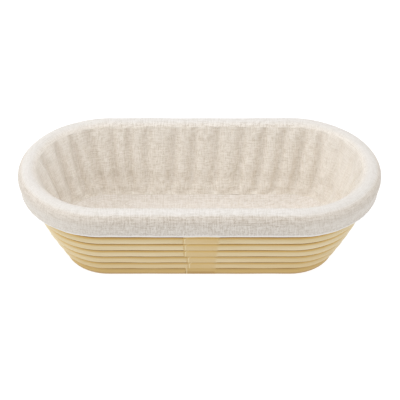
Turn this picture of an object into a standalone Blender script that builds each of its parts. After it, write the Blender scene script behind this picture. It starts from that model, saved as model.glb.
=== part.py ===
"""Oval cane proofing basket with a linen liner.

The basket is a stack of bent canes. Each cane is one piece whose two slanted
ends meet in a splice at the front centre. Steel brads nail each ring to the
ring below and thread the base together. The liner is a gathered linen wall and
a floor panel, sewn to a cuff that turns over the rim and is drawn in by an
elastic in its hem.

Length runs along X, the splices face -Y, and the basket stands on z = 0.
"""
import math

import bmesh
import bpy
from mathutils import Matrix, Vector

MM = 0.001
TURN = 2.0 * math.pi

# Cane
CANE_D = 9.5 * MM
LAY_GAP = 0.3 * MM
FOOT_FLAT = 0.5 * MM
CANE_SIDES = 12
ARC_STEPS = 14

# Basket shape
OVERALL_LENGTH = 280.0 * MM
WALL_RINGS = 9
BASE_LOOPS = 2
BASE_PITCH = 10.4 * MM
LEAN_FIRST = math.radians(24.0)
LEAN_LAST = math.radians(20.3)
CORE_SHRINK = 0.6 * MM
END_BOW = 1.9 * MM

# Splice
SPLICE_HALF = 12.5 * MM
SPLICE_FADE = 3.0 * MM
SPLICE_SLANT = 11.0 * MM
SPLICE_KERF = 0.8 * MM
SPLICE_PLANED = 1.1 * MM
SPLICE_SQUARE = 8.0
ROUND = 2.0

# Brads
PIN_D = 1.0 * MM
PIN_SIDES = 6
PIN_CLEAR = 0.3 * MM
PIN_SINK = 1.5 * MM
PIN_BITE = 5.0 * MM
PIN_SPLICE_X = (5.0 * MM, 9.0 * MM)
PIN_END_STEPS = (0.5, 1.5)
CROSS_PIN_X = (40.0 * MM, 30.0 * MM)
SIDE_FACET = 2.5

# Liner
CLOTH = 0.8 * MM
SEAM_GAP = 0.3 * MM
ROLL_STAND_OFF = 2.35 * MM
ROLL_INSET = 0.4 * MM
CREST_GAP = 0.4 * MM
ROLL_SEAM_AT = math.radians(143.0)
ROLL_FOOT_AT = math.radians(-20.0)
ROLL_STEPS = 11
HEM_RING = 6
HEM_RISE = 3.8 * MM
HEM_TURN_UP = 5.5 * MM
ELASTIC_WIDTH = 4.0 * MM
ELASTIC_THICK = 0.8 * MM
FLOOR_SEAM_Z = 28.2 * MM
FLOOR_SEAM_CLEAR = 3.6 * MM
FLOOR_SAG = 8.0 * MM
FLOOR_FLATNESS = 4.0
FLOOR_LAP = 0.6 * MM
FLOOR_RINGS = (1.0, 0.86, 0.66, 0.35)
FOLDS = 38
FOLD_ROWS = ((0.0, 0.35 * MM), (0.33, 1.4 * MM), (0.77, 2.0 * MM), (1.0, 0.6 * MM))
FOLD_DRIFT = ((5, 0.9, 0.0), (11, 0.6, 1.0))
FOLD_SWELL = ((7, 0.25, 2.0), (3, 0.15, 0.5))

# Derived sizes
CANE_R = CANE_D / 2.0
PITCH = CANE_D + LAY_GAP
TOP_RING = WALL_RINGS - 1
FOOT_Z = CANE_R - FOOT_FLAT
BASE_R = (BASE_LOOPS + 1) * BASE_PITCH


def ring_lean(step):
    """Lean of the wall from upright, between one ring and the next."""
    return LEAN_FIRST + (LEAN_LAST - LEAN_FIRST) * step / (TOP_RING - 1)


def ring_radius(ring):
    """End radius of a wall ring's centre line."""
    return BASE_R + PITCH * sum(math.sin(ring_lean(k)) for k in range(ring))


def ring_height(ring):
    """Height of a wall ring's centre line."""
    return FOOT_Z + PITCH * sum(math.cos(ring_lean(k)) for k in range(ring))


ROLL_R = CANE_R + ROLL_STAND_OFF + CLOTH / 2.0
ROLL_CENTRE_R = ring_radius(TOP_RING) - ROLL_INSET
ROLL_CENTRE_Z = ring_height(TOP_RING) + CANE_R + CREST_GAP + CLOTH / 2.0 - ROLL_R
CORE_TOP = OVERALL_LENGTH / 2.0 - ROLL_CENTRE_R - ROLL_R - CLOTH / 2.0


def ring_core(ring):
    """Half length of a ring's straight sides; the end walls bow out a little between base and rim."""
    share = ring / TOP_RING
    return CORE_TOP - CORE_SHRINK * (1.0 - share) + END_BOW * math.sin(math.pi * share)


def between_rings(height, size_of):
    """A size of the wall rings at any height, taken between the ring below and the ring above."""
    for ring in range(TOP_RING):
        low, high = ring_height(ring), ring_height(ring + 1)
        if height < high:
            share = max(0.0, (height - low) / (high - low))
            return size_of(ring) + share * (size_of(ring + 1) - size_of(ring))
    return size_of(TOP_RING)


def core_at(height):
    """Half length of the straight sides at a height of the wall."""
    return between_rings(height, ring_core)


FLOOR_SEAM_R = between_rings(FLOOR_SEAM_Z, ring_radius) - CANE_R - FLOOR_SEAM_CLEAR


def front(x):
    """Station on the straight front side."""
    return ("front", x)


def back(x):
    """Station on the straight back side."""
    return ("back", x)


def right_end(angle):
    """Station on the end arc at +X, at an angle from +X."""
    return ("right", angle)


def left_end(angle):
    """Station on the end arc at -X, at an angle from +X."""
    return ("left", angle)


def place(station, core, radius):
    """Point and outward direction of a station on an oval, both in plan."""
    kind, value = station
    if kind in ("front", "back"):
        out = Vector((0.0, -1.0 if kind == "front" else 1.0, 0.0))
        return Vector((value, 0.0, 0.0)) + out * radius, out
    out = Vector((math.cos(value), math.sin(value), 0.0))
    return Vector((core if kind == "right" else -core, 0.0, 0.0)) + out * radius, out


def end_arcs(steps):
    """Stations of both end arcs, from the front's right end round to its left end."""
    quarter = TURN / 4.0
    turns = [math.pi * k / steps for k in range(steps + 1)]
    return [right_end(t - quarter) for t in turns] + [left_end(t + quarter) for t in turns]


def add_object(name, verts, faces, finish, parent=None):
    """Mesh object with outward faces and smooth shading."""
    mesh = bpy.data.meshes.new(name)
    mesh.from_pydata([tuple(v) for v in verts], [], faces)
    build = bmesh.new()
    build.from_mesh(mesh)
    bmesh.ops.recalc_face_normals(build, faces=build.faces)
    for face in build.faces:
        face.smooth = True
    build.to_mesh(mesh)
    build.free()
    thing = bpy.data.objects.new(name, mesh)
    bpy.context.scene.collection.objects.link(thing)
    mesh.materials.append(finish)
    thing.parent = parent
    if parent:
        thing.matrix_parent_inverse = parent.matrix_world.inverted()
    return thing


def sweep(rows, closed):
    """Vertices and faces of a skin over rows of section points, capped where it isn't a closed loop."""
    count = len(rows[0])
    verts = [point for row in rows for point in row]
    faces = []
    for i in range(len(rows) if closed else len(rows) - 1):
        a, b = i * count, (i + 1) % len(rows) * count
        for k in range(count):
            n = (k + 1) % count
            faces.append((a + k, a + n, b + n, b + k))
    if not closed:
        faces.append(tuple(range(count)))
        faces.append(tuple(range(len(verts) - count, len(verts))))
    return verts, faces


def finish_of(name, colour, roughness, metallic=0.0):
    """Plain surface finish."""
    mat = bpy.data.materials.new(name)
    mat.use_nodes = True
    shader = mat.node_tree.nodes["Principled BSDF"]
    shader.inputs["Base Color"].default_value = (*colour, 1.0)
    shader.inputs["Roughness"].default_value = roughness
    shader.inputs["Metallic"].default_value = metallic
    return mat


def cane_finish(name):
    return finish_of(name + "_cane", (0.66, 0.47, 0.22), 0.55)


def steel_finish(name):
    return finish_of(name + "_steel", (0.55, 0.55, 0.56), 0.35, 1.0)


def linen_finish(name):
    return finish_of(name + "_linen", (0.72, 0.65, 0.56), 0.9)


def elastic_finish(name):
    return finish_of(name + "_rubber", (0.85, 0.83, 0.78), 0.7)


def section_point(angle, square):
    """Point of a cane's section of radius 1, out and up; a squared one has its two faces planed back."""
    c, s = math.cos(angle), math.sin(angle)
    power = ROUND / square
    face = 1.0 if square == ROUND else 1.0 - SPLICE_PLANED / CANE_R
    return math.copysign(min(face, abs(c) ** power), c), math.copysign(abs(s) ** power, s)


def wall_section(lean, square, open_above):
    """Section of a wall cane, out and up, flattened along the wall but round where no ring lies above."""
    points = []
    for k in range(CANE_SIDES):
        angle = TURN * (k + 0.5) / CANE_SIDES
        across, along = section_point(angle, ROUND if open_above and angle < math.pi else square)
        out = across * math.cos(lean) + along * math.sin(lean)
        up = along * math.cos(lean) - across * math.sin(lean)
        points.append((CANE_R * out, CANE_R * up))
    return points


def foot_angle(corner):
    """Angle of a corner of a standing cane's section, counted from one edge of its flat round to the other."""
    chord = math.asin(FOOT_Z / CANE_R)
    return -chord + (math.pi + 2.0 * chord) * corner / (CANE_SIDES - 1)


def foot_section(square, lean):
    """Section of a cane that stands on the table, planed flat below and clear of the ring above."""
    points = []
    for k in range(CANE_SIDES):
        out, up = section_point(foot_angle(k), square)
        over = max(0.0, out * math.sin(lean) + up * math.cos(lean) - 1.0)
        out -= over * math.sin(lean)
        up -= over * math.cos(lean)
        points.append((CANE_R * out, max(CANE_R * up, -FOOT_Z)))
    return points


def bent_cane(core, radius, height, lean, section, square):
    """Skin of a cane bent to an oval; its ends are slanted across the wall in the splice."""
    reach = SPLICE_HALF + SPLICE_FADE
    run = [(front(0.0), square, 1.0), (front(SPLICE_HALF), square, 0.0), (front(reach), ROUND, 0.0)]
    run += [(station, ROUND, 0.0) for station in end_arcs(ARC_STEPS)]
    run += [(front(-reach), ROUND, 0.0), (front(-SPLICE_HALF), square, 0.0), (front(0.0), square, -1.0)]
    rows = []
    for station, flatness, cut in run:
        point, out = place(station, core, radius)
        row = []
        for off, up in section(flatness):
            across = off * math.cos(lean) - up * math.sin(lean)
            slide = cut * SPLICE_KERF / 2.0 - abs(cut) * SPLICE_SLANT * across / CANE_R
            row.append(point + out * off + Vector((slide, 0.0, height + up)))
        rows.append(row)
    return sweep(rows, closed=False)


def make_wall_ring(ring):
    """One ring of the wall; the lowest one stands on the table."""
    name = f"wall_ring_{ring + 1:02d}"
    if ring == 0:
        lean = 0.0
        section = lambda square: foot_section(square, ring_lean(0))
    else:
        lean = (ring_lean(ring - 1) + ring_lean(min(ring, TOP_RING - 1))) / 2.0
        section = lambda square: wall_section(lean, square, ring == TOP_RING)
    skin = bent_cane(ring_core(ring), ring_radius(ring), ring_height(ring), lean, section, SPLICE_SQUARE)
    return add_object(name, *skin, cane_finish(name))


def make_base_loop(loop):
    name = f"base_loop_{loop}"
    section = lambda square: foot_section(square, 0.0)
    skin = bent_cane(ring_core(0), loop * BASE_PITCH, FOOT_Z, 0.0, section, ROUND)
    return add_object(name, *skin, cane_finish(name))


def make_centre_cane():
    inside = BASE_PITCH - CANE_R - LAY_GAP
    half = ring_core(0) + math.sqrt(max(0.0, inside**2 - CANE_R**2))
    rows = [[Vector((x, off, FOOT_Z + up)) for off, up in foot_section(ROUND, 0.0)] for x in (-half, half)]
    return add_object("base_centre_cane", *sweep(rows, closed=False), cane_finish("base_centre_cane"))


def rod(start, end, diameter):
    """Vertices and faces of a straight rod."""
    axis = (end - start).normalized()
    side = axis.orthogonal().normalized()
    rows = []
    for point in (start, end):
        turns = [Matrix.Rotation(TURN * k / PIN_SIDES, 3, axis) @ side for k in range(PIN_SIDES)]
        rows.append([point + turn * diameter / 2.0 for turn in turns])
    return sweep(rows, closed=False)


def ring_pin_stations(ring):
    """Where a ring is nailed down; the places step aside from ring to ring."""
    x = PIN_SPLICE_X[ring % 2]
    turn = PIN_END_STEPS[ring % 2] * math.pi / ARC_STEPS
    return [front(-x), front(x), right_end(turn), left_end(math.pi - turn)]


def ring_pin_lines():
    """Name, ends and nailed rings of each ring pin."""
    lines = []
    for ring in range(1, WALL_RINGS):
        for number, station in enumerate(ring_pin_stations(ring), 1):
            ends = []
            for level in (ring, ring - 1):
                point, _ = place(station, ring_core(level), ring_radius(level))
                ends.append(point + Vector((0.0, 0.0, ring_height(level))))
            up = (ends[0] - ends[1]).normalized()
            head = ends[0] + up * (CANE_R - PIN_SINK)
            tip = ends[1] + up * (CANE_R - PIN_BITE)
            cut_from = ends[0] + up * CANE_D
            cut_to = tip - up * PIN_CLEAR
            wood = [f"wall_ring_{ring + 1:02d}", f"wall_ring_{ring:02d}"]
            lines.append((f"ring_pin_{ring + 1:02d}_{number}", head, tip, cut_from, cut_to, wood))
    return lines


def cross_pin_lines():
    """Name, ends and threaded canes of each pin across the base."""
    wood = ["wall_ring_01", "base_centre_cane"] + [f"base_loop_{k + 1}" for k in range(BASE_LOOPS)]
    z = FOOT_Z + CANE_R * math.sin(foot_angle(SIDE_FACET))
    lines = []
    for side, x in zip((-1.0, 1.0), CROSS_PIN_X):
        for end in (-1.0, 1.0):
            head = Vector((end * x, side * (BASE_R + CANE_R - PIN_SINK), z))
            tip = Vector((end * x, side * PIN_D, z))
            ease = Vector((0.0, side * PIN_CLEAR, 0.0))
            lines.append((f"cross_pin_{len(lines) + 1}", head, tip, head + ease, tip - ease, wood))
    return lines


def drill(thing, holes):
    """Cuts the pin holes of one cane."""
    verts, faces = [], []
    for start, end in holes:
        hole_verts, hole_faces = rod(start, end, PIN_D + 2.0 * PIN_CLEAR)
        faces += [tuple(k + len(verts) for k in face) for face in hole_faces]
        verts += hole_verts
    cutter = add_object(thing.name + "_holes", verts, faces, thing.data.materials[0])
    cutter.hide_render = True
    cutter.display_type = "WIRE"
    cut = thing.modifiers.new("pin_holes", "BOOLEAN")
    cut.operation = "DIFFERENCE"
    cut.solver = "EXACT"
    cut.object = cutter
    view = bpy.context.evaluated_depsgraph_get()
    drilled = bpy.data.meshes.new_from_object(thing.evaluated_get(view))
    thing.modifiers.clear()
    thing.data = drilled
    bpy.data.objects.remove(cutter)


def make_basket():
    """All canes, drilled, and all brads."""
    canes = [make_centre_cane()]
    canes += [make_base_loop(loop) for loop in range(1, BASE_LOOPS + 1)]
    canes += [make_wall_ring(ring) for ring in range(WALL_RINGS)]
    lines = ring_pin_lines() + cross_pin_lines()
    for cane in canes:
        drill(cane, [(line[3], line[4]) for line in lines if cane.name in line[5]])
    for name, head, tip, _, _, _ in lines:
        add_object(name, *rod(head, tip, PIN_D), steel_finish(name))


def thick_line(points, thickness):
    """Closed outline of a line in the section plane, thickened evenly to both sides."""
    sides = ([], [])
    for i, (r, z) in enumerate(points):
        before = points[max(0, i - 1)]
        after = points[min(len(points) - 1, i + 1)]
        into = Vector((r - before[0], z - before[1]))
        onward = Vector((after[0] - r, after[1] - z))
        into = (into if into.length else onward).normalized()
        onward = (onward if onward.length else into).normalized()
        mitre = into.orthogonal() + onward.orthogonal()
        mitre *= thickness / mitre.dot(into.orthogonal()) / 2.0
        sides[0].append((r + mitre.x, z + mitre.y))
        sides[1].append((r - mitre.x, z - mitre.y))
    return sides[0] + sides[1][::-1]


def oval_band(name, outline, finish, parent):
    """Closed band with one section outline, radius and height, all the way round the oval."""
    rows = []
    for station in end_arcs(ARC_STEPS):
        row = []
        for r, z in outline:
            point, _ = place(station, core_at(z), r)
            row.append(point + Vector((0.0, 0.0, z)))
        rows.append(row)
    return add_object(name, *sweep(rows, closed=True), finish, parent)


def roll_point(angle):
    """Point of the cuff's middle surface where it turns over the rim."""
    return ROLL_CENTRE_R + ROLL_R * math.cos(angle), ROLL_CENTRE_Z + ROLL_R * math.sin(angle)


def hem_point(along, off):
    """Point beside the wall near the hem: along the wall from the hem's ring, and off its outer face."""
    lean = ring_lean(HEM_RING)
    across = CANE_R + off
    r = ring_radius(HEM_RING) + along * math.sin(lean) + across * math.cos(lean)
    z = ring_height(HEM_RING) + along * math.cos(lean) - across * math.sin(lean)
    return r, z


HEM_IN = LAY_GAP + CLOTH / 2.0
ELASTIC_IN = HEM_IN + CLOTH / 2.0 + SEAM_GAP + ELASTIC_THICK / 2.0
HEM_OUT = ELASTIC_IN + ELASTIC_THICK / 2.0 + SEAM_GAP + CLOTH / 2.0


def make_cuff(parent):
    """Linen band over the rim, turned up inside at its hem."""
    top = HEM_RISE + HEM_TURN_UP
    line = [hem_point(top, HEM_IN), hem_point(HEM_RISE, HEM_IN)]
    line += [hem_point(HEM_RISE, HEM_OUT), hem_point(top, HEM_OUT)]
    for k in range(ROLL_STEPS):
        line.append(roll_point(ROLL_FOOT_AT + (ROLL_SEAM_AT - ROLL_FOOT_AT) * k / (ROLL_STEPS - 1)))
    return oval_band("liner_cuff", thick_line(line, CLOTH), linen_finish("liner_cuff"), parent)


def make_elastic(parent):
    """Flat elastic in the hem's casing."""
    low = HEM_RISE + CLOTH / 2.0 + SEAM_GAP
    line = [hem_point(low, ELASTIC_IN), hem_point(low + ELASTIC_WIDTH, ELASTIC_IN)]
    return oval_band("hem_elastic", thick_line(line, ELASTIC_THICK), elastic_finish("hem_elastic"), parent)


def fold_wave(index, count, terms):
    """Smooth uneven drift round the oval."""
    return sum(size * math.sin(TURN * turns * index / count + phase) for turns, size, phase in terms)


def station_at(share, core, radius):
    """Station at a share of the way round an oval, from the front centre."""
    bend = math.pi * radius
    way = share % 1.0 * (4.0 * core + 2.0 * bend)
    if way < core:
        return front(way)
    if way < core + bend:
        return right_end((way - core) / radius - math.pi / 2.0)
    if way < 3.0 * core + bend:
        return back(2.0 * core + bend - way)
    if way < 3.0 * core + 2.0 * bend:
        return left_end((way - 3.0 * core - bend) / radius + math.pi / 2.0)
    return front(way - 4.0 * core - 2.0 * bend)


def make_wall_panel(parent):
    """Linen strip that hangs inside the cuff, gathered in folds that deepen toward the floor."""
    seam_r, seam_z = roll_point(ROLL_SEAM_AT)
    top_r, top_z = seam_r - CLOTH / 2.0, seam_z - CLOTH / 2.0 - SEAM_GAP
    columns = 4 * FOLDS
    middle = (top_r + FLOOR_SEAM_R) / 2.0
    rows = []
    for i in range(columns):
        station = station_at((i + fold_wave(i, columns, FOLD_DRIFT)) / columns, core_at(FLOOR_SEAM_Z), middle)
        swell = (1.0 + fold_wave(i, columns, FOLD_SWELL)) * math.sin(TURN * i / 4.0)
        outer, inner = [], []
        for share, depth in FOLD_ROWS:
            z = top_z + (FLOOR_SEAM_Z - top_z) * share
            r = top_r + (FLOOR_SEAM_R - top_r) * share + depth * swell
            point, out = place(station, core_at(z), r)
            point.z = z
            outer.append(point + out * CLOTH / 2.0)
            inner.append(point - out * CLOTH / 2.0)
        rows.append(outer + inner[::-1])
    return add_object("liner_wall_panel", *sweep(rows, closed=True), linen_finish("liner_wall_panel"), parent)


def make_floor_panel(parent):
    """Oval linen panel under the wall's lower edge, sagging to the middle."""
    edge_r = FLOOR_SEAM_R + FLOOR_LAP
    top, under = [], []
    for share in FLOOR_RINGS:
        z = FLOOR_SEAM_Z - SEAM_GAP - FLOOR_SAG * (1.0 - share**FLOOR_FLATNESS)
        top.append((edge_r * share, z))
        under.append((edge_r * share, z - CLOTH))
    outline = top[::-1] + under
    stations = end_arcs(ARC_STEPS)
    verts, faces = [], []
    for r, z in outline:
        for station in stations:
            verts.append(place(station, core_at(FLOOR_SEAM_Z), r)[0] + Vector((0.0, 0.0, z)))
    count = len(stations)
    for level in range(len(outline) - 1):
        for k in range(count):
            n = (k + 1) % count
            a, b = level * count, (level + 1) * count
            faces.append((a + k, a + n, b + n, b + k))
    faces.append(tuple(range(count)))
    faces.append(tuple(range(len(verts) - count, len(verts))))
    return add_object("liner_floor_panel", verts, faces, linen_finish("liner_floor_panel"), parent)


def make_liner():
    """All liner pieces under one empty on the line the liner lifts along."""
    lift = bpy.data.objects.new("liner_lift_axis", None)
    lift.location = (0.0, 0.0, ROLL_CENTRE_Z)
    bpy.context.scene.collection.objects.link(lift)
    bpy.context.view_layer.update()
    make_floor_panel(lift)
    make_wall_panel(lift)
    make_cuff(lift)
    make_elastic(lift)


def main():
    for thing in list(bpy.data.objects):
        bpy.data.objects.remove(thing)
    make_basket()
    make_liner()


main()
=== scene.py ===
"""Looks of an oval cane proofing basket with its linen liner.

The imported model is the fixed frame. The canes, the liner and its elastic are built again here,
finer and less even than the solids, and each rides on the body of the solid that it stands for.
The brads stay as they are and get a steel finish.

Lengths are in metres. The basket's length runs along X, the splices face -Y and z = 0 is the table.
"""
from __future__ import annotations

import logging
import math
from dataclasses import dataclass, field
from enum import Enum
from typing import Any, Iterable, Sequence

import bmesh
import bpy
import numpy as np
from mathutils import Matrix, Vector


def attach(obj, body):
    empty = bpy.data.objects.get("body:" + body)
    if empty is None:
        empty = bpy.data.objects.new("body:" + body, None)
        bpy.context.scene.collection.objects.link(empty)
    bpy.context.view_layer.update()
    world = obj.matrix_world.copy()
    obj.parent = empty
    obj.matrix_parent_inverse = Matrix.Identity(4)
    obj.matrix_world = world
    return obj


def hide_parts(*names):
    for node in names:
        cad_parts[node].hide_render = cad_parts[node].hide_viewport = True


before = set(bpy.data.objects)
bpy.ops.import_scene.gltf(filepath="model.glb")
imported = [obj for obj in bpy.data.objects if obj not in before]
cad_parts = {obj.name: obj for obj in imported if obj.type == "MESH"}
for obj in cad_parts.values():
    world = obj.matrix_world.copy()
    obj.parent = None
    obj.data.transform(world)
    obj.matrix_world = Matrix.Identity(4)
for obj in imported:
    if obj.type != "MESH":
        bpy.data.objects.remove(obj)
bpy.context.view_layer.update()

MM = 0.001
TURN = 2.0 * math.pi
LOG = logging.getLogger("basket")

Colour = tuple[float, float, float, float]
Edge = tuple[float, float]
Curve = tuple[tuple[float, float], ...]

WHITE: Colour = (1.0, 1.0, 1.0, 1.0)


class Body(Enum):
    """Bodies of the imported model."""

    BASKET = "basket"
    LINER = "liner"


class Slot(Enum):
    """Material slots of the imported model."""

    CANE = "cane"
    LINEN = "linen"
    ELASTIC = "elastic"


class Mark(Enum):
    """Names of the values that the meshes hand to their finishes."""

    LAY = "lay"
    SANDED = "sanded"
    FEATHER = "feather"
    FOLD = "fold"


# Sizes shared by basket and liner


@dataclass(frozen=True)
class Oval:
    """Way round an oval with straight sides, counted from the front centre toward +X."""

    core: float
    radius: float

    @property
    def length(self) -> float:
        """Length of the whole way round."""
        return 4.0 * self.core + TURN * self.radius

    def place(self, way: np.ndarray, core: Any = None, radius: Any = None) -> tuple[np.ndarray, np.ndarray]:
        """Points and outward directions in plan.

        Args:
            way: How far along this oval each point is.
            core: Half length of the straight sides that the points lie on, if not this oval's.
            radius: End radius that the points lie on, if not this oval's.

        Returns:
            Points and unit outward directions, both with a last axis of three.
        """
        core = self.core if core is None else core
        radius = self.radius if radius is None else radius
        bend = math.pi * self.radius
        knots = np.cumsum([0.0, self.core, bend, 2.0 * self.core, bend, self.core])
        turned = np.mod(way, self.length)
        heading = np.interp(turned, knots, np.radians([-90.0, -90.0, 90.0, 90.0, 270.0, 270.0]))
        shift = np.interp(turned, knots, [0.0, 1.0, 1.0, -1.0, -1.0, 0.0])
        out = np.stack([np.cos(heading), np.sin(heading), np.zeros_like(heading)], axis=-1)
        point = out * np.asarray(radius + 0.0 * heading)[..., None]
        point[..., 0] += shift * core
        return point, out


@dataclass(frozen=True)
class BasketShape:
    """Sizes of the stack of canes and of the cloth roll on its rim."""

    cane_d: float = 9.5 * MM
    lay_gap: float = 0.3 * MM
    foot_flat: float = 0.5 * MM
    overall_length: float = 280.0 * MM
    wall_rings: int = 9
    base_loops: int = 2
    base_pitch: float = 10.4 * MM
    lean_first: float = math.radians(24.0)
    lean_last: float = math.radians(20.3)
    core_shrink: float = 0.6 * MM
    end_bow: float = 1.9 * MM
    cloth: float = 0.8 * MM
    roll_stand_off: float = 2.35 * MM
    roll_inset: float = 0.4 * MM
    crest_gap: float = 0.4 * MM

    @property
    def cane_r(self) -> float:
        """Radius of a cane."""
        return self.cane_d / 2.0

    @property
    def top_ring(self) -> int:
        """Number of the rim's ring, counted from 0."""
        return self.wall_rings - 1

    @property
    def foot_z(self) -> float:
        """Height of the centre line of a cane that stands on the table."""
        return self.cane_r - self.foot_flat

    def lean(self, step: float) -> float:
        """Lean of the wall from upright, between one ring and the next."""
        return self.lean_first + (self.lean_last - self.lean_first) * step / (self.top_ring - 1)

    def radius(self, ring: int) -> float:
        """End radius of a wall ring's centre line."""
        rise = sum(math.sin(self.lean(k)) for k in range(ring))
        return (self.base_loops + 1) * self.base_pitch + (self.cane_d + self.lay_gap) * rise

    def height(self, ring: int) -> float:
        """Height of a wall ring's centre line."""
        rise = sum(math.cos(self.lean(k)) for k in range(ring))
        return self.foot_z + (self.cane_d + self.lay_gap) * rise

    @property
    def roll_r(self) -> float:
        """Radius of the cuff's middle surface over the rim."""
        return self.cane_r + self.roll_stand_off + self.cloth / 2.0

    @property
    def roll_centre(self) -> tuple[float, float]:
        """Radius and height of the roll's centre."""
        crest = self.height(self.top_ring) + self.cane_r + self.crest_gap + self.cloth / 2.0
        return self.radius(self.top_ring) - self.roll_inset, crest - self.roll_r

    @property
    def core_top(self) -> float:
        """Half length of the rim's straight sides."""
        return self.overall_length / 2.0 - self.roll_centre[0] - self.roll_r - self.cloth / 2.0

    def core(self, ring: int) -> float:
        """Half length of a ring's straight sides."""
        share = ring / self.top_ring
        bow = self.end_bow * math.sin(math.pi * share)
        return self.core_top - self.core_shrink * (1.0 - share) + bow

    def core_at(self, height: Any) -> Any:
        """Half length of the straight sides at any height."""
        rings = range(self.wall_rings)
        return np.interp(height, [self.height(k) for k in rings], [self.core(k) for k in rings])

    def radius_at(self, height: Any) -> Any:
        """End radius of the wall's centre line at any height."""
        rings = range(self.wall_rings)
        return np.interp(height, [self.height(k) for k in rings], [self.radius(k) for k in rings])


def smooth(value: Any, low: float, high: float) -> Any:
    """Smooth step from 0 at low to 1 at high."""
    t = np.clip((np.asarray(value, float) - low) / (high - low), 0.0, 1.0)
    return t * t * (3.0 - 2.0 * t)


def hump(value: Any, rise: Edge, fall: Edge) -> Any:
    """Smooth hump that comes up over one stretch and goes down over another."""
    return smooth(value, *rise) * (1.0 - smooth(value, *fall))


def along_curve(value: np.ndarray, curve: Curve) -> np.ndarray:
    """Height of a line through given points, each a place and a height."""
    places, heights = zip(*curve)
    return np.interp(value, places, heights)


def unit(vectors: np.ndarray) -> np.ndarray:
    """Vectors of the same directions with a length of 1."""
    return vectors / np.linalg.norm(vectors, axis=-1, keepdims=True)


def run_lengths(line: np.ndarray) -> np.ndarray:
    """Way along a line of points to each of them."""
    return np.concatenate([[0.0], np.cumsum(np.linalg.norm(np.diff(line, axis=0), axis=1))])


def points_at(at: np.ndarray, way: np.ndarray, line: np.ndarray) -> np.ndarray:
    """Points on a line, at given ways along it, from the way to each of its own points."""
    return np.stack([np.interp(at, way, column) for column in line.T], axis=-1)


def drift(share: np.ndarray, size: float, turns: Iterable[int], dice: np.random.Generator) -> np.ndarray:
    """Smooth uneven value round a closed way.

    Args:
        share: Share of the way round, from 0 to 1.
        size: About the largest value.
        turns: Waves in one round, one number for each wave that is added.
        dice: Source of the waves' sizes and places.

    Returns:
        One value for each share.
    """
    turns = list(turns)
    total = np.zeros_like(share)
    for count in turns:
        total += dice.uniform(0.5, 1.0) * np.sin(TURN * (count * share + dice.random()))
    return size * total / math.sqrt(len(turns))


# Shaders


class Reading:
    """A value in a shader; arithmetic on it adds Math nodes."""

    def __init__(self, graph: "Graph", socket: bpy.types.NodeSocket) -> None:
        """Wraps one output socket."""
        self.graph = graph
        self.socket = socket

    def _math(self, operation: str, first: Any, second: Any = 0.0) -> "Reading":
        """One Math node."""
        return self.graph.node("ShaderNodeMath", {"operation": operation}, {0: first, 1: second})

    def __add__(self, other: Any) -> "Reading":
        """Sum."""
        return self._math("ADD", self, other)

    __radd__ = __add__

    def __sub__(self, other: Any) -> "Reading":
        """Difference."""
        return self._math("SUBTRACT", self, other)

    def __rsub__(self, other: Any) -> "Reading":
        """Difference from a number."""
        return self._math("SUBTRACT", other, self)

    def __mul__(self, other: Any) -> "Reading":
        """Product."""
        return self._math("MULTIPLY", self, other)

    __rmul__ = __mul__

    def __abs__(self) -> "Reading":
        """Size without sign."""
        return self._math("ABSOLUTE", self)

    def sin(self) -> "Reading":
        """Sine."""
        return self._math("SINE", self)


@dataclass(frozen=True)
class Tint:
    """A colour that comes in between the two ends of an edge, up to a share."""

    colour: Colour
    edge: Edge
    share: float = 1.0
    blend: str = "MIX"


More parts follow.
